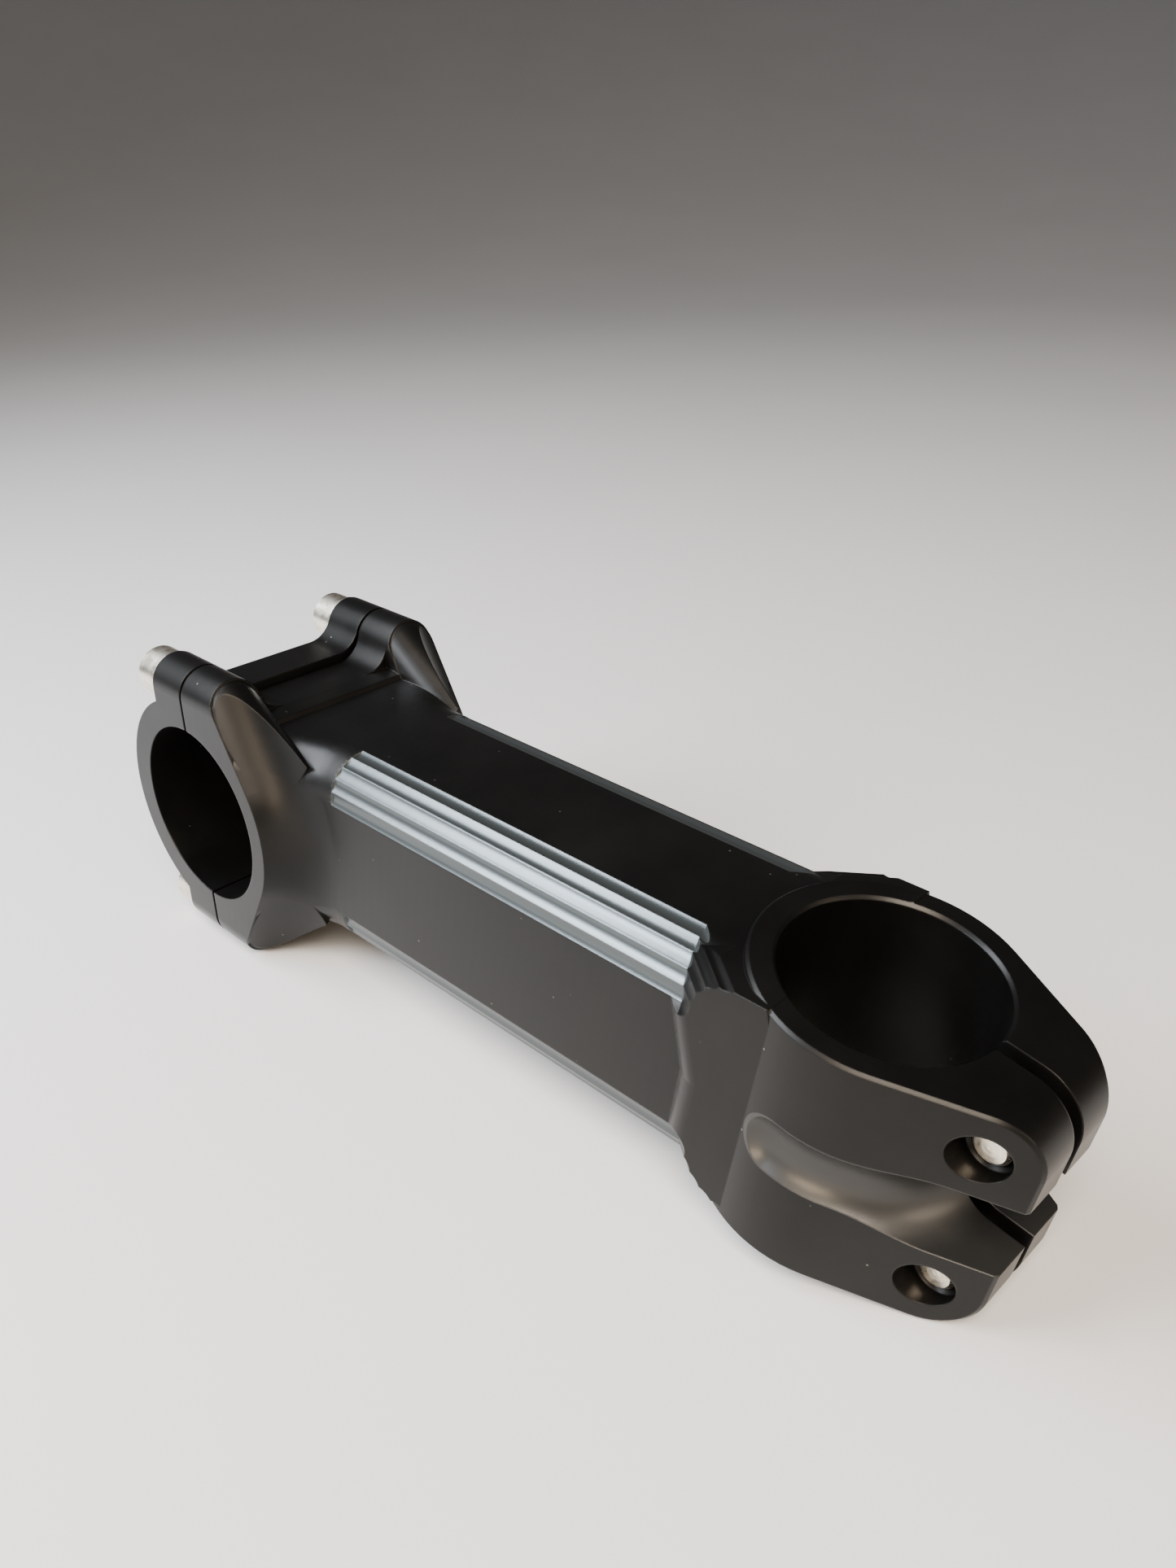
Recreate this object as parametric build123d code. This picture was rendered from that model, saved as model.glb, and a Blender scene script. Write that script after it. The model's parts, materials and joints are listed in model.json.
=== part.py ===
from build123d import *
from math import acos, atan2, cos, degrees, hypot, radians, sin, sqrt, tan
import os

# Handlebar stem for a threadless fork.
# Frame: origin on the steerer axis at mid-height of its clamp, +Z up that axis,
# +X towards the handlebar. Shapes of the extension are drawn level, with x from the
# steerer axis, and shapes of the handlebar clamp are drawn about the handlebar axis.

os.makedirs("parts", exist_ok=True)

# Extension
stem_length = 120.0
stem_angle = 10.0
axis_rise = 1.5
tube_half_width = 15.7
tube_half_height = 17.4
tube_corner = 7.0
tube_bore = 12.0
tube_bore_start = 22.0
tube_start = 8.0

# Flutes milled along the four corners of the extension
flute_count = 5
flute_radius = 2.6
flute_ridge_drop = 0.06
flute_turn_x = 17.0
flute_turn_lean = 0.3
flute_turn_angle = 37.0
flute_turn_run = 18.0
flute_end_x = 90.0

# Steerer clamp
steerer_bore = 14.3
clamp_height = 36.0
clamp_radius = 18.0
ear_taper = 25.0
ear_rear = 26.5
ear_nose = 7.0
slot_width = 2.2
groove_radius = 5.75
groove_floor = 16.2
groove_end_x = 0.8
groove_reach = 30.0
pillar_radius = 5.0
pillar_x = 13.0
pillar_y = 12.2
rim_chamfer = 0.45
edge_break = 0.4

# Handlebar clamp
bar_bore = 15.9
bar_width = 45.6
ring_rear = 19.3
ring_front = 20.6
parting_gap = 0.6
boss_radius = 4.8
boss_height = 21.4
boss_front = 8.8
boss_rear = 8.4
valley_rear = 18.6
valley_front = 20.0
valley_fillet = 5.0
wall_x = 9.0
wall_top = 23.0
flare_radius = 11.0
web_radius = 4.65
web_start = -7.2
web_fall = 33.0
web_length = 18.0
flare_start = 88.0

# M5 socket-head screws and their washers
thread_radius = 2.5
thread_clearance = 0.05
through_radius = 2.75
head_radius = 4.25
head_height = 5.0
head_break = 0.35
hex_across_flats = 4.0
hex_depth = 2.6
washer_radius = 4.6
washer_bore = 2.6
washer_thickness = 1.0
face_bolt_length = 16.0
face_hole_depth = 7.2
pinch_bolt_length = 14.0
pinch_x = -20.0
pinch_spacing = 23.0
pinch_seat = 5.0
pinch_pocket = 4.9
pinch_thread_end = 6.6
pinch_exit_radius = 3.4
tip_break = 0.5
washer_break = 0.15
hex_lead_in = 0.3

long = 200.0
along_stem = Location((0, 0, axis_rise), (0, stem_angle, 0))
at_handlebar = along_stem * Pos(stem_length, 0, 0)
boss_y = bar_width / 2 - boss_radius
boss_names = {
    (1, 1): "upper_left",
    (1, -1): "lower_left",
    (-1, 1): "upper_right",
    (-1, -1): "lower_right",
}
pinch_names = {1: "upper", -1: "lower"}


def slab(x_range=(-long, long), y_range=(-long, long), z_range=(-long, long)):
    """A box between the given limits."""
    ranges = (x_range, y_range, z_range)
    middle = [(high + low) / 2 for low, high in ranges]
    size = [high - low for low, high in ranges]
    return Pos(*middle) * Box(*size)


def rod(radius, start, end):
    """A cylinder from one point to another."""
    axis = Vector(*end) - Vector(*start)
    return extrude(Plane(origin=start, z_dir=axis) * Circle(radius), axis.length)


def across_at(x):
    """The plane across the extension at x: its own x along Y, its own y along Z."""
    return Plane(origin=(x, 0, 0), x_dir=(0, 1, 0), z_dir=(1, 0, 0))


def sideways(face, half_width):
    """A face in the XZ plane grown both ways along Y."""
    return extrude(face, half_width, dir=(0, 1, 0), both=True)


def boss_rods(radius, start, end):
    """A cylinder on each of the four boss axes, between two distances from the parting plane."""
    centres = [(side * boss_y, level * boss_height) for side, level in boss_names]
    return [rod(radius, (start, y, z), (end, y, z)) for y, z in centres]


def bar_rod():
    """The handlebar's cylinder."""
    return rod(bar_bore, (0, -long, 0), (0, long, 0))


def flare_section():
    """What the flare cutter removes: across, back from the clamp wall; up, outwards."""
    overhang = bar_width / 2 - tube_half_width
    turn = acos(1 - overhang / flare_radius)
    reach = flare_radius * sin(turn)
    middle = (reach - flare_radius * sin(turn / 2), tube_half_width + flare_radius * (1 - cos(turn / 2)))
    start = (0, bar_width / 2)
    end = (reach, tube_half_width)
    deep = 2 * tube_half_width
    flare = ThreePointArc(start, middle, end)
    outside = Polyline([end, (deep, end[1]), (deep, deep), (0, deep), start])
    return make_face(flare.edges() + outside.edges())


def wall_turn():
    """The angle, from level, at which the straight rear walls leave the ring."""
    return atan2(wall_top, wall_x) - acos(ring_rear / hypot(wall_x, wall_top))


def wall_length():
    """The length of each straight rear wall, from the ring to below the boss."""
    return sqrt(wall_x**2 + wall_top**2 - ring_rear**2)


def flare_cutters():
    """The concave flares on both sides, which follow the clamp's rear outline."""
    turn = degrees(wall_turn())
    seat = Plane(origin=(-ring_rear, 0, 0), x_dir=(-1, 0, 0), z_dir=(0, 0, -1))
    section = seat * flare_section()
    cutters = [Rot(0, -turn, 0) * revolve(section, Axis.Y, 2 * turn)]
    for level in (1, -1):
        wall = extrude(section, wall_length() + boss_radius, dir=(0, 0, level))
        cutters.append(Rot(0, level * turn, 0) * wall)
    cutters = [Pos(stem_length, 0, 0) * cutter for cutter in cutters]
    return cutters + [mirror(cutter, Plane.XZ) for cutter in cutters]


def rounded_extension():
    """The extension and its flares, with every long corner rounded."""
    height = (-tube_half_height, tube_half_height)
    tube = slab((tube_start, stem_length), (-tube_half_width, tube_half_width), height)
    flare = slab((flare_start, stem_length), (-bar_width / 2, bar_width / 2), height)
    body = tube + (flare - flare_cutters())
    corners = []
    for edge in body.edges():
        level = all(abs(abs(edge.position_at(t).Z) - tube_half_height) < 0.01 for t in (0, 0.5, 1))
        if level and tube_half_width - 0.01 < abs(edge.position_at(0.5).Y) < bar_width / 2 - 0.01:
            corners.append(edge)
    return fillet(corners, tube_corner)


def corner_section():
    """What is milled off a corner, about the corner's own axis: rounding and flutes."""
    step = radians(90 / flute_count)
    ridge = tube_corner - flute_ridge_drop
    centre = ridge * cos(step / 2) + sqrt(flute_radius**2 - (ridge * sin(step / 2)) ** 2)
    section = Pos(tube_corner, tube_corner) * Rectangle(2 * tube_corner, 2 * tube_corner)
    section -= Circle(tube_corner)
    for index in range(flute_count):
        angle = (index + 0.5) * step
        section += Pos(centre * sin(angle), centre * cos(angle)) * Circle(flute_radius)
    return section


def corner_cutters():
    """The milling of one corner: along the extension, then turned out past the pillar."""
    away = radians(flute_turn_angle)
    lean = degrees(atan2(flute_turn_lean, 1))
    start = flute_turn_x + tube_corner * flute_turn_lean
    corner = Pos(start, tube_half_width - tube_corner, tube_half_height - tube_corner)
    section = across_at(0) * corner_section()
    run = extrude(section, flute_end_x - start) + extrude(section, -flute_turn_run)
    along = run & (Rot(0, 0, lean) * slab(x_range=(0, long)))
    narrowed = scale(corner_section(), by=(cos(away) - flute_turn_lean * sin(away), 1, 1))
    side = extrude(across_at(0) * narrowed, flute_turn_run, both=True)
    side &= Rot(0, 0, flute_turn_angle + lean) * slab(x_range=(-long, 0))
    return [corner * along, corner * (Rot(0, 0, -flute_turn_angle) * side)]


def pillars():
    """Upright walls where the extension meets the barrel, rounded at their front."""
    half = clamp_height / 2
    outer = pillar_y + pillar_radius
    walls = slab((0, pillar_x), (-outer, outer), (-half, half))
    for y in (pillar_y, -pillar_y):
        walls += rod(pillar_radius, (pillar_x, y, -half), (pillar_x, y, half))
    return (along_stem.inverse() * walls) & slab(z_range=(-tube_half_height, tube_half_height))


def clamp_section(valley):
    """The handlebar clamp seen along the extension: a block with four round bosses."""
    face = Rectangle(bar_width, 2 * valley)
    for side, level in boss_names:
        pad = Pos(side * (bar_width / 2 + boss_y) / 2, level * boss_height / 2)
        face += pad * Rectangle(boss_radius, boss_height)
        face += Pos(side * boss_y, level * boss_height) * Circle(boss_radius)
    inner = [v for v in face.vertices() if abs(v.X) < boss_y - 1 and abs(abs(v.Y) - valley) < 0.01]
    return fillet(inner, valley_fillet)


def rear_outline():
    """The rear half of the clamp seen from its side: a ring run out to the boss backs."""
    turn = wall_turn()
    top = boss_height + boss_radius
    outline = Circle(ring_rear)
    for level in (1, -1):
        foot = (-ring_rear * cos(turn), level * ring_rear * sin(turn))
        head = (foot[0] + wall_length() * sin(turn), foot[1] + level * wall_length() * cos(turn))
        back = (-boss_rear, level * top)
        wall = Polyline((0, 0), foot, head, back, (0, level * top), close=True)
        outline += make_face(wall)
    return outline


def rear_webs():
    """Round-topped webs that fall from the back of each boss to the extension."""
    fall = radians(web_fall)
    webs = []
    for side, level in boss_names:
        top = Vector(web_start, side * boss_y, level * boss_height)
        foot = top + Vector(-cos(fall), 0, -level * sin(fall)) * web_length
        webs += [Pos(*top) * Sphere(web_radius), rod(web_radius, tuple(top), tuple(foot))]
    return [Pos(stem_length, 0, 0) * web for web in webs]


def rear_clamp():
    """The rear half of the handlebar clamp, with its bosses."""
    block = extrude(across_at(-ring_rear) * clamp_section(valley_rear), ring_rear)
    high = tube_half_height + long
    sloped = [(-boss_rear, valley_rear), (-ring_rear, tube_half_height)]
    above = [(-ring_rear, high), (-boss_rear, high)]
    for level in (1, -1):
        face = make_face(Polyline([(x, level * z) for x, z in sloped + above], close=True))
        block -= sideways(Plane.XZ * face, boss_y - boss_radius)
    return block & sideways(Plane.XZ * rear_outline(), bar_width / 2)


def faceplate():
    """The removable front of the handlebar clamp: a ring between blocks with bosses."""
    block = extrude(across_at(0) * clamp_section(valley_front), boss_front)
    ring = sideways(Plane.XZ * Circle(ring_front), bar_width / 2)
    ring &= slab(z_range=(-valley_front, valley_front))
    plate = (ring + block) & slab(x_range=(parting_gap / 2, long))
    plate -= boss_rods(boss_radius, boss_front, long)
    plate -= boss_rods(through_radius, -long, long)
    return plate - bar_rod()


def barrel():
    """The steerer clamp's outside: a barrel whose walls close in to a rounded rear."""
    taper = radians(ear_taper)
    touch = (-clamp_radius * sin(taper), clamp_radius * cos(taper))
    rear = (-ear_rear, touch[1] - (ear_rear + touch[0]) * tan(taper))
    ears = Polyline([touch, rear, (rear[0], -rear[1]), (touch[0], -touch[1])], close=True)
    body = extrude(make_face(ears) + Circle(clamp_radius), clamp_height / 2, both=True)
    noses = [edge for edge in body.edges().filter_by(Axis.Y) if edge.center().X < 0.01 - ear_rear]
    body = fillet(noses, ear_nose)
    rims = [edge for edge in body.edges() if abs(edge.position_at(0.5).Z) > clamp_height / 2 - 0.01]
    return chamfer([edge for edge in rims if abs(edge.tangent_at(0.5).Y) < 0.99], edge_break)


def ear_groove():
    """The round-bottomed groove that parts the two ears behind the barrel."""
    centre_radius = groove_floor + groove_radius
    angle = degrees(acos(-groove_end_x / centre_radius))
    section = Pos(centre_radius, 0) * Circle(groove_radius)
    section += Pos(centre_radius + groove_reach / 2, 0) * Rectangle(groove_reach, 2 * groove_radius)
    seat = Plane(origin=(0, 0, 0), x_dir=(-1, 0, 0), z_dir=(0, 1, 0))
    cutters = [Rot(0, 0, -angle) * revolve(seat * section, Axis.Z, 2 * angle)]
    for side in (1, -1):
        end = (groove_end_x, side * sqrt(centre_radius**2 - groove_end_x**2), 0)
        cutters.append(Pos(*end) * Sphere(groove_radius))
        cutters.append(rod(groove_radius, end, (3 * end[0], 3 * end[1], 0)))
    return cutters


def pinch_holes():
    """Both pinch-bolt holes: head pocket at -Y, thread and coned exit pocket at +Y."""
    bore = thread_radius + thread_clearance
    cone_height = pinch_exit_radius - bore
    cone = Cone(bore, pinch_exit_radius, cone_height)
    cone_middle = (0, pinch_thread_end + cone_height / 2, 0)
    cone_seat = Plane(origin=cone_middle, x_dir=(1, 0, 0), z_dir=(0, 1, 0))
    exit_start = (0, pinch_thread_end + cone_height, 0)
    cutters = []
    for level in pinch_names:
        centre = Pos(pinch_x, 0, level * pinch_spacing / 2)
        cutters.append(centre * rod(pinch_pocket, (0, -pinch_seat, 0), (0, -long, 0)))
        cutters.append(centre * rod(through_radius, (0, -pinch_seat - 1, 0), (0, 0, 0)))
        cutters.append(centre * rod(bore, (0, 0, 0), (0, long, 0)))
        cutters.append(centre * (cone_seat * cone))
        cutters.append(centre * rod(pinch_exit_radius, exit_start, (0, long, 0)))
    return cutters


def steerer_holes():
    """The steerer bore with its chamfered rims, and the rear slot."""
    rim = Cone(steerer_bore, steerer_bore + 2 * rim_chamfer, 2 * rim_chamfer)
    upper_rim = Pos(0, 0, clamp_height / 2) * rim
    slot = slab(x_range=(-long, 0), y_range=(-slot_width / 2, slot_width / 2))
    return [rod(steerer_bore, (0, 0, -long), (0, 0, long)), upper_rim, mirror(upper_rim, Plane.XY), slot]


def fluted_extension():
    """The extension with its pillars, its corners milled and turned outwards."""
    blank = rounded_extension() + pillars()
    quarter = blank & slab(y_range=(0, long), z_range=(-long, 0))
    for cutter in corner_cutters():
        quarter -= mirror(cutter, Plane.XY)
    lower = quarter + mirror(quarter, Plane.XZ)
    return lower + mirror(lower, Plane.XY)


def stem_body():
    """The one-piece stem: steerer clamp, hollow fluted extension and rear bar clamp."""
    threads = boss_rods(thread_radius + thread_clearance, -face_hole_depth, long)
    ahead = slab(x_range=(-parting_gap / 2, long))
    webs = (Part() + rear_webs()) - flare_cutters()
    extension = fluted_extension() + Pos(stem_length, 0, 0) * rear_clamp() + webs
    extension -= [Pos(stem_length, 0, 0) * cutter for cutter in threads + [bar_rod(), ahead]]
    extension -= rod(tube_bore, (tube_bore_start, 0, 0), (stem_length, 0, 0))
    body = barrel() + along_stem * extension
    return body - (steerer_holes() + ear_groove() + pinch_holes())


def socket_screw(length):
    """A socket-head screw: head on +Z from the origin, shank along -Z."""
    head = chamfer(Cylinder(head_radius, head_height).edges().group_by(Axis.Z)[-1], head_break)
    shank = chamfer(Cylinder(thread_radius, length).edges().group_by(Axis.Z)[0], tip_break)
    screw = Pos(0, 0, head_height / 2) * head + Pos(0, 0, -length / 2) * shank
    hexagon = RegularPolygon(hex_across_flats / 2, 6, major_radius=False)
    recess = extrude(Pos(0, 0, head_height - hex_depth) * hexagon, hex_depth)
    lead_in = Cone(hex_across_flats / 2, hex_across_flats / 2 + hex_lead_in, hex_lead_in)
    return screw - [recess, Pos(0, 0, head_height - hex_lead_in / 2) * lead_in]


def washer():
    """A plain round washer, from the origin along +Z."""
    disc = Cylinder(washer_radius, washer_thickness)
    disc = chamfer(disc.edges().filter_by(GeomType.CIRCLE), washer_break)
    return Pos(0, 0, washer_thickness / 2) * (disc - Cylinder(washer_bore, washer_thickness))


def save(shape, name):
    """Writes one named piece."""
    export_step(shape, f"parts/{name}.step")


save(stem_body(), "stem_body")
save(at_handlebar * faceplate(), "faceplate")
for (side, level), name in boss_names.items():
    seat = at_handlebar * Location((boss_front, side * boss_y, level * boss_height), (0, 90, 0))
    save(seat * washer(), f"faceplate_washer_{name}")
    save(seat * Pos(0, 0, washer_thickness) * socket_screw(face_bolt_length), f"faceplate_bolt_{name}")
for level, name in pinch_names.items():
    seat = Location((pinch_x, -pinch_seat, level * pinch_spacing / 2), (90, 0, 0))
    save(seat * washer(), f"steerer_washer_{name}")
    save(seat * Pos(0, 0, washer_thickness) * socket_screw(pinch_bolt_length), f"steerer_bolt_{name}")
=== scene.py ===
import bpy
import bmesh
import json
import math
from mathutils import Matrix, Vector

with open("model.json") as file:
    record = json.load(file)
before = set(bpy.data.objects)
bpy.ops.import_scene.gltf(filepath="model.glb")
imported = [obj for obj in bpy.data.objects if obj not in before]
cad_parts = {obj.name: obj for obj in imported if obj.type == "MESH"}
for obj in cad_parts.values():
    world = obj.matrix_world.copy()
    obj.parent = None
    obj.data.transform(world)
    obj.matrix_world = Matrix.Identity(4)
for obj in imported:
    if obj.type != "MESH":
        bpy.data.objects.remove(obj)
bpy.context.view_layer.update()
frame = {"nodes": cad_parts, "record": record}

print("frame loaded:", len(frame["nodes"]), "CAD nodes")

mm = 0.001
stemTilt = math.radians(10)
stemAxis = Vector((math.cos(stemTilt), 0, -math.sin(stemTilt)))
stemUp = Vector((math.sin(stemTilt), 0, math.cos(stemTilt)))
mounts = {mount["name"]: mount for mount in frame["record"]["mounts"]}
barAxis = Vector(mounts["handlebar_clamp"]["pos_m"])


def hexColour(text):
    # sRGB hex to the linear values that shaders read
    values = [int(text[i:i + 2], 16) / 255 for i in (1, 3, 5)]
    return tuple(v / 12.92 if v <= 0.04045 else ((v + 0.055) / 1.055) ** 2.4 for v in values) + (1,)


def addNode(tree, kind, settings=None, links=None):
    # settings are node properties or input values, links are input name: output socket
    node = tree.nodes.new(kind)
    for name, value in (settings or {}).items():
        if isinstance(name, str) and hasattr(node, name):
            setattr(node, name, value)
        else:
            node.inputs[name].default_value = value
    for name, socket in (links or {}).items():
        tree.links.new(socket, node.inputs[name])
    return node


def newMaterial(name):
    material = bpy.data.materials.new(name)
    material.use_nodes = True
    tree = material.node_tree
    tree.nodes.clear()
    return material, tree


def setRamp(ramp, *stops):
    for element, (position, tone) in zip(ramp.color_ramp.elements, stops):
        element.color = hexColour(tone)
        element.position = position


# black anodised aluminium, bead-blasted: a deep warm black with a soft wide sheen
anodised = {
    "dark": (0.3, "#10100f"),
    "light": (0.75, "#1b1a19"),
    "roughness": (0.32, 0.44),
    "cloud": 26,
    "blast": 0.22,
    "dust": "#8d897e",
    "dustGap": 4.2,
    "dustEdge": (0.02, 0.045),
    "dustCover": 0.55,
    "edge": 0.35,
    "cutterLines": 0.35,
}

# the fluted corners, in the extension's own level frame, each limit as (fully fluted, not fluted)
# in mm; "clear" is the distance from the steerer axis
fluted = {
    # tone is a painted highlight: the lighter, cooler colour laid on the flutes for the window's reflection
    "tone": "#4c5152",
    "roughness": 0.3,
    "rise": 1.5,
    "corner": (8.7, 10.4),
    "start": (9.5, 7.5),
    "end": (90.2, 90.6),
    "outside": (22, 20),
    "clear": (15.2, 14.6),
    "radius": (6.955, 6.99),
}

# the ball-milled groove between the ears: cutter radius, how far out its centre runs and
# where it stops
# tone is a painted highlight: a lighter colour laid on the groove for the light on its lower half
groove = {"tone": "#3b3b3a", "cutter": 5.75, "runs": 21.95, "stop": 0.8, "blend": 0.06}


def steererSpot(tree, place):
    # place as separate coordinates, and its distance from the steerer axis
    spot = addNode(tree, "ShaderNodeSeparateXYZ", links={"Vector": place})
    flatLinks = {"X": spot.outputs["X"], "Y": spot.outputs["Y"]}
    flat = addNode(tree, "ShaderNodeCombineXYZ", links=flatLinks)
    out = addNode(tree, "ShaderNodeVectorMath", {"operation": "LENGTH"}, {0: flat.outputs[0]})
    return spot, out.outputs["Value"]


def fluteMask(tree, place, out):
    # 1 on the fluted corners, 0 elsewhere
    levelSettings = {
        "vector_type": "TEXTURE",
        "Location": (0, 0, fluted["rise"] * mm),
        "Rotation": (0, stemTilt, 0),
    }
    level = addNode(tree, "ShaderNodeMapping", levelSettings, {"Vector": place})
    parts = addNode(tree, "ShaderNodeSeparateXYZ", links={"Vector": level.outputs["Vector"]})
    absolute = {"operation": "ABSOLUTE"}
    across = addNode(tree, "ShaderNodeMath", absolute, {0: parts.outputs["Y"]})
    up = addNode(tree, "ShaderNodeMath", absolute, {0: parts.outputs["Z"]})
    both = {0: across.outputs[0], 1: up.outputs[0]}
    spread = addNode(tree, "ShaderNodeMath", {"operation": "ADD"}, both)
    foldedLinks = {"Y": across.outputs[0], "Z": up.outputs[0]}
    folded = addNode(tree, "ShaderNodeCombineXYZ", links=foldedLinks)
    corner = (0, fluted["corner"][0] * mm, fluted["corner"][1] * mm)
    distance = {"operation": "DISTANCE", 1: corner}
    radius = addNode(tree, "ShaderNodeVectorMath", distance, {0: folded.outputs[0]})
    limits = (
        (parts.outputs["X"], fluted["start"]),
        (parts.outputs["X"], fluted["end"]),
        (spread.outputs[0], fluted["outside"]),
        (out, fluted["clear"]),
        (radius.outputs["Value"], fluted["radius"]),
    )
    mask = None
    for socket, (shown, hidden) in limits:
        bandSettings = {"From Min": hidden * mm, "From Max": shown * mm}
        band = addNode(tree, "ShaderNodeMapRange", bandSettings, {"Value": socket}).outputs[0]
        if mask is None:
            mask = band
        else:
            mask = addNode(tree, "ShaderNodeMath", {"operation": "MULTIPLY"}, {0: mask, 1: band}).outputs[0]
    return mask


def grooveMask(tree, spot, out):
    # 1 within the cutter's reach of the line that its centre ran along, 0 elsewhere
    runs = {"operation": "SUBTRACT", 1: groove["runs"] * mm}
    inside = addNode(tree, "ShaderNodeMath", runs, {0: out})
    inside = addNode(tree, "ShaderNodeMath", {"operation": "MINIMUM", 1: 0.0}, {0: inside.outputs[0]})
    stop = {"operation": "SUBTRACT", 1: groove["stop"] * mm}
    beyond = addNode(tree, "ShaderNodeMath", stop, {0: spot.outputs["X"]})
    beyond = addNode(tree, "ShaderNodeMath", {"operation": "MAXIMUM", 1: 0.0}, {0: beyond.outputs[0]})
    offsetLinks = {"X": beyond.outputs[0], "Y": inside.outputs[0], "Z": spot.outputs["Z"]}
    offset = addNode(tree, "ShaderNodeCombineXYZ", links=offsetLinks)
    reach = addNode(tree, "ShaderNodeVectorMath", {"operation": "LENGTH"}, {0: offset.outputs[0]})
    edges = {
        "From Min": (groove["cutter"] + 2 * groove["blend"]) * mm,
        "From Max": (groove["cutter"] + groove["blend"]) * mm,
    }
    return addNode(tree, "ShaderNodeMapRange", edges, {"Value": reach.outputs["Value"]}).outputs[0]


def blackAnodisedAluminium(name, toolingAndPaintedHighlights):
    material, tree = newMaterial(name)
    place = addNode(tree, "ShaderNodeTexCoord").outputs["Object"]
    # cloudy change of tone over about 25 mm, from handling and dye uptake
    cloudSettings = {"Scale": 1000 / anodised["cloud"], "Detail": 5, "Roughness": 0.6}
    cloud = addNode(tree, "ShaderNodeTexNoise", cloudSettings, {"Vector": place})
    tone = addNode(tree, "ShaderNodeValToRGB", links={"Fac": cloud.outputs["Fac"]})
    setRamp(tone, anodised["dark"], anodised["light"])
    # pits left by the glass beads, 0.22 mm across
    blastSettings = {"Scale": 1000 / anodised["blast"], "Detail": 2}
    blast = addNode(tree, "ShaderNodeTexNoise", blastSettings, {"Vector": place})
    # sparse dust specks a few tenths of a millimetre across
    speckSettings = {"feature": "F1", "Scale": 1000 / anodised["dustGap"], "Randomness": 1}
    specks = addNode(tree, "ShaderNodeTexVoronoi", speckSettings, {"Vector": place})
    nearSpeck = {
        "From Min": anodised["dustEdge"][0],
        "From Max": anodised["dustEdge"][1],
        "To Min": anodised["dustCover"],
        "To Max": 0,
    }
    speckMask = addNode(tree, "ShaderNodeMapRange", nearSpeck, {"Value": specks.outputs["Distance"]})
    dust = {"data_type": "RGBA", 7: hexColour(anodised["dust"])}
    dusted = addNode(tree, "ShaderNodeMix", dust, {0: speckMask.outputs[0], 6: tone.outputs["Color"]})
    # the gloss wanders with the same clouds
    sheen = {
        "From Min": 0.3,
        "From Max": 0.7,
        "To Min": anodised["roughness"][0],
        "To Max": anodised["roughness"][1],
    }
    rough = addNode(tree, "ShaderNodeMapRange", sheen, {"Value": cloud.outputs["Fac"]})
    tint, gloss = dusted.outputs[2], rough.outputs[0]
    if toolingAndPaintedHighlights:
        # the flutes get a painted highlight: a lighter, cooler colour standing in for the window's
        # reflection on them, and they are smoother than the blasted faces
        spot, out = steererSpot(tree, place)
        mask = fluteMask(tree, place, out)
        paintedHighlightMix = {"data_type": "RGBA", 7: hexColour(fluted["tone"])}
        tint = addNode(tree, "ShaderNodeMix", paintedHighlightMix, {0: mask, 6: tint}).outputs[2]
        # the groove gets a weaker painted highlight in its colour, standing in for the light on its lower
        # half
        paintedHighlightMix = {"data_type": "RGBA", 7: hexColour(groove["tone"])}
        tint = addNode(tree, "ShaderNodeMix", paintedHighlightMix, {0: grooveMask(tree, spot, out), 6: tint}).outputs[2]
        smooth = {"data_type": "FLOAT", 3: fluted["roughness"]}
        gloss = addNode(tree, "ShaderNodeMix", smooth, {0: mask, 2: gloss}).outputs[0]
    # edges broken by a small radius, which catches a thin line of light
    bevel = {"samples": 6, "Radius": anodised["edge"] * mm}
    softened = addNode(tree, "ShaderNodeBevel", bevel)
    pits = {"Strength": 0.25, "Distance": 0.00003}
    pitLinks = {"Height": blast.outputs["Fac"], "Normal": softened.outputs["Normal"]}
    bump = addNode(tree, "ShaderNodeBump", pits, pitLinks)
    if toolingAndPaintedHighlights:
        # faint cutter lines running across the milled extension
        lineSettings = {
            "wave_type": "BANDS",
            "bands_direction": "X",
            "Scale": 1000 / anodised["cutterLines"] / 20,
            "Distortion": 1.2,
            "Detail": 2,
            "Detail Scale": 3,
        }
        lines = addNode(tree, "ShaderNodeTexWave", lineSettings, {"Vector": place})
        scratch = {"Strength": 0.12, "Distance": 0.00002}
        scratchLinks = {"Height": lines.outputs["Fac"], "Normal": bump.outputs["Normal"]}
        bump = addNode(tree, "ShaderNodeBump", scratch, scratchLinks)
    finish = {"Metallic": 0.85, "Coat Weight": 0.08, "Coat Roughness": 0.3}
    finishLinks = {"Base Color": tint, "Roughness": gloss, "Normal": bump.outputs["Normal"]}
    shader = addNode(tree, "ShaderNodeBsdfPrincipled", finish, finishLinks)
    addNode(tree, "ShaderNodeOutputMaterial", links={"Surface": shader.outputs["BSDF"]})
    return material


# stainless steel turned on a lathe: bright, slightly warm, with fine rings round each axis
stainless = {
    "worn": (0.28, "#d3cab8"),
    "base": (0.6, "#f2eada"),
    "ring": 0.12,
    "smear": 1.6,
    "roughness": (0.2, 0.36),
}


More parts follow.
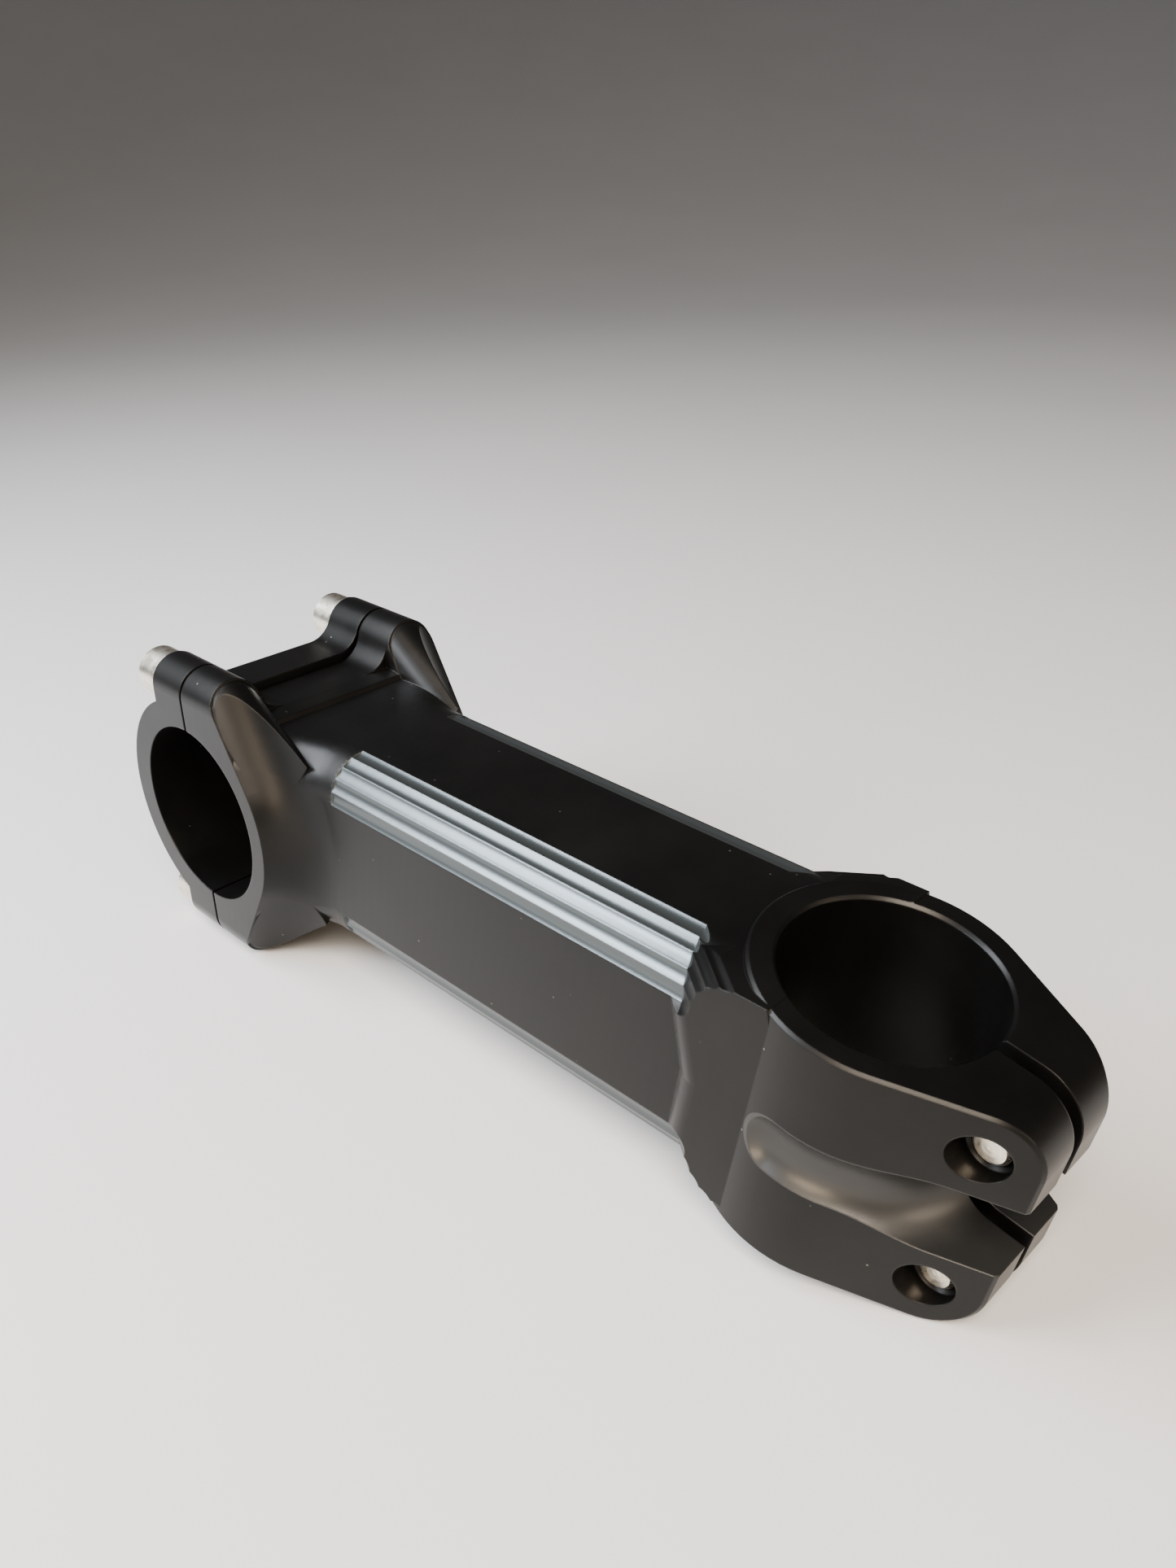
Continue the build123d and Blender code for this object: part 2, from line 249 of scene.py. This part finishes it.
def turnedStainlessSteel(name, centre, axisTurn):
    material, tree = newMaterial(name)
    place = addNode(tree, "ShaderNodeTexCoord").outputs["Object"]
    axisSettings = {"vector_type": "TEXTURE", "Location": centre, "Rotation": axisTurn}
    local = addNode(tree, "ShaderNodeMapping", axisSettings, {"Vector": place})
    # fine lathe rings round the screw's own axis
    ringSettings = {
        "wave_type": "RINGS",
        "rings_direction": "Z",
        "Scale": 1000 / stainless["ring"] / 20,
        "Distortion": 0.4,
        "Detail": 1,
    }
    rings = addNode(tree, "ShaderNodeTexWave", ringSettings, {"Vector": local.outputs["Vector"]})
    # smears of handling that change both tone and gloss
    smearSettings = {"Scale": 1000 / stainless["smear"], "Detail": 4, "Roughness": 0.65}
    smear = addNode(tree, "ShaderNodeTexNoise", smearSettings, {"Vector": place})
    tone = addNode(tree, "ShaderNodeValToRGB", links={"Fac": smear.outputs["Fac"]})
    setRamp(tone, stainless["worn"], stainless["base"])
    gloss = {"To Min": stainless["roughness"][0], "To Max": stainless["roughness"][1]}
    rough = addNode(tree, "ShaderNodeMapRange", gloss, {"Value": smear.outputs["Fac"]})
    turned = {"Strength": 0.35, "Distance": 0.00002}
    bump = addNode(tree, "ShaderNodeBump", turned, {"Height": rings.outputs["Fac"]})
    steelLinks = {
        "Base Color": tone.outputs["Color"],
        "Roughness": rough.outputs[0],
        "Normal": bump.outputs["Normal"],
    }
    shader = addNode(tree, "ShaderNodeBsdfPrincipled", {"Metallic": 1.0}, steelLinks)
    addNode(tree, "ShaderNodeOutputMaterial", links={"Surface": shader.outputs["BSDF"]})
    return material


# where the screws stand, in mm: each faceplate boss from the handlebar axis as
# (across, up), the spot-face they seat on ahead of it, and the pinch screws by height
faceBosses = {
    "upper_left": (18, 21.4),
    "lower_left": (18, -21.4),
    "upper_right": (-18, 21.4),
    "lower_right": (-18, -21.4),
}
bossFront = 8.8
pinchHeights = {"upper": 11.5, "lower": -11.5}
pinchX = -20

dress = {
    "stem_body": blackAnodisedAluminium("blackAnodisedAluminiumMilledPaintedHighlights", True),
    "faceplate": blackAnodisedAluminium("blackAnodisedAluminiumPlate", False),
}
for bossName, (across, up) in faceBosses.items():
    seat = barAxis + stemAxis * (bossFront * mm) + stemUp * (up * mm) + Vector((0, across * mm, 0))
    steel = turnedStainlessSteel("turnedStainless_" + bossName, seat, (0, math.pi / 2 + stemTilt, 0))
    dress["faceplate_bolt_" + bossName] = steel
    dress["faceplate_washer_" + bossName] = steel
for pinchName, height in pinchHeights.items():
    seat = (pinchX * mm, 0, height * mm)
    steel = turnedStainlessSteel("turnedStainless_pinch_" + pinchName, seat, (math.pi / 2, 0, 0))
    dress["steerer_bolt_" + pinchName] = steel
    dress["steerer_washer_" + pinchName] = steel
for nodeName, material in dress.items():
    node = frame["nodes"][nodeName]
    node.data.materials.clear()
    node.data.materials.append(material)
print("materials set on", len(dress), "nodes")

# a pale floor, flat near the stem and curving up slowly further out; lengths in metres
floorSettings = {
    "reach": 3.2,
    "parts": 64,
    "drop": 0.0002,
    "flat": 0.9,
    "rise": 0.22,
    "tone": (0.45, 0.49),
    "roughness": 0.8,
}


def restingPlane():
    # a point under the steerer clamp and the tilt of the plane that also touches the lower bosses
    points = [vertex.co for vertex in frame["nodes"]["stem_body"].data.vertices]
    back = [co for co in points if co.x < 0]
    front = [co for co in points if co.x > 0.1]
    tilt = 0.0
    for _ in range(12):
        down = Vector((-math.sin(tilt), 0, -math.cos(tilt)))
        low = max(back, key=lambda co: co.dot(down))
        far = max(front, key=lambda co: co.dot(down))
        tilt = math.atan2(low.z - far.z, far.x - low.x)
    return low, tilt


def makeFloor():
    point, tilt = restingPlane()
    print("floor tilt", round(math.degrees(tilt), 2))
    above = Vector((math.sin(tilt), 0, math.cos(tilt)))
    parts = floorSettings["parts"]
    mesh = bmesh.new()
    bmesh.ops.create_grid(mesh, x_segments=parts, y_segments=parts, size=floorSettings["reach"])
    for vertex in mesh.verts:
        beyond = max(0.0, vertex.co.xy.length - floorSettings["flat"])
        vertex.co.z = floorSettings["rise"] * beyond ** 2
    for face in mesh.faces:
        face.smooth = True
    seated = Matrix.Translation(point - above * floorSettings["drop"]) @ Matrix.Rotation(tilt, 4, "Y")
    bmesh.ops.transform(mesh, matrix=seated, verts=mesh.verts)
    data = bpy.data.meshes.new("floor")
    mesh.to_mesh(data)
    mesh.free()
    return data


def matteFloorPaint():
    # flat paint with a faint unevenness
    material, tree = newMaterial("matteFloorPaint")
    place = addNode(tree, "ShaderNodeTexCoord").outputs["Object"]
    noise = addNode(tree, "ShaderNodeTexNoise", {"Scale": 9, "Detail": 4}, {"Vector": place})
    tones = {"To Min": floorSettings["tone"][0], "To Max": floorSettings["tone"][1]}
    tone = addNode(tree, "ShaderNodeMapRange", tones, {"Value": noise.outputs["Fac"]})
    flat = {"Roughness": floorSettings["roughness"]}
    shader = addNode(tree, "ShaderNodeBsdfPrincipled", flat, {"Base Color": tone.outputs[0]})
    addNode(tree, "ShaderNodeOutputMaterial", links={"Surface": shader.outputs["BSDF"]})
    return material


floor = bpy.data.objects.new("floor", makeFloor())
bpy.context.scene.collection.objects.link(floor)
floor.data.materials.append(matteFloorPaint())
print("floor laid")

view = {
    "eye": (-0.0466, 0.1164, 0.1223),
    "right": (-0.7054, -0.6995, 0.1141),
    "up": (0.4717, -0.3432, 0.8122),
    "back": (-0.5290, 0.6268, 0.5721),
    "lens": 40.29,
    "nearest": 0.005,
}
cameraData = bpy.data.cameras.new("camera")
cameraData.sensor_fit = "HORIZONTAL"
cameraData.sensor_width = 36
cameraData.lens = view["lens"]
cameraData.clip_start = view["nearest"]
camera = bpy.data.objects.new("camera", cameraData)
bpy.context.scene.collection.objects.link(camera)
turn = Matrix((view["right"], view["up"], view["back"])).transposed()
camera.matrix_world = Matrix.Translation(view["eye"]) @ turn.to_4x4()
bpy.context.scene.camera = camera

lamps = {
    # long window lamp across the mirror direction of the fluted corner
    "window": {
        "at": (0.45, 0.27, 0.29),
        "aim": (0.06, 0.015, 0.0),
        "long": (0.104, -0.8, 0.59),
        "size": (0.5, 0.16),
        "power": 9,
        "tone": "#f1f7ff",
    },
    # warm lamp overhead, for the boss tops and the swept flanks
    "overhead": {
        "at": (-0.16, 0.3, 0.55),
        "aim": (0.05, 0, 0),
        "long": (1, 0, 0),
        "size": (0.3, 0.3),
        "power": 13,
        "tone": "#ffeedb",
    },
    # two small lamps low at the side, for the lower half of the groove between the ears
    "groove": {
        "at": (0.25, 0.34, 0.18),
        "aim": (-0.01, 0.015, 0.0),
        "long": (0, -0.47, 0.88),
        "size": (0.24, 0.12),
        "power": 2.2,
        "tone": "#eef5ff",
    },
    "side": {
        "at": (-0.1, 0.42, 0.12),
        "aim": (-0.01, 0.015, 0.0),
        "long": (1, 0, 0),
        "size": (0.2, 0.1),
        "power": 1.2,
        "tone": "#ffe6c6",
    },
    # weak warm fill from the steerer clamp's end
    "low": {
        "at": (-0.55, -0.1, 0.3),
        "aim": (0.0, 0, 0),
        "long": (0, 1, 0),
        "size": (0.3, 0.2),
        "power": 2.0,
        "tone": "#ffe9d0",
    },
}
for lampName, settings in lamps.items():
    lampData = bpy.data.lights.new(lampName, "AREA")
    lampData.shape = "RECTANGLE"
    lampData.size, lampData.size_y = settings["size"]
    lampData.energy = settings["power"]
    lampData.color = hexColour(settings["tone"])[:3]
    lamp = bpy.data.objects.new(lampName, lampData)
    bpy.context.scene.collection.objects.link(lamp)
    back = (Vector(settings["at"]) - Vector(settings["aim"])).normalized()
    along = Vector(settings["long"])
    along = (along - back * along.dot(back)).normalized()
    turn = Matrix((along, back.cross(along), back)).transposed()
    lamp.matrix_world = Matrix.Translation(settings["at"]) @ turn.to_4x4()

# soft grey all round
surround = {"tone": "#e8eaee", "strength": 0.16}
world = bpy.data.worlds.new("studio")
world.use_nodes = True
background = world.node_tree.nodes["Background"]
background.inputs["Color"].default_value = hexColour(surround["tone"])
background.inputs["Strength"].default_value = surround["strength"]
bpy.context.scene.world = world
bpy.context.scene.view_settings.view_transform = "AgX"
print("camera and lights placed")
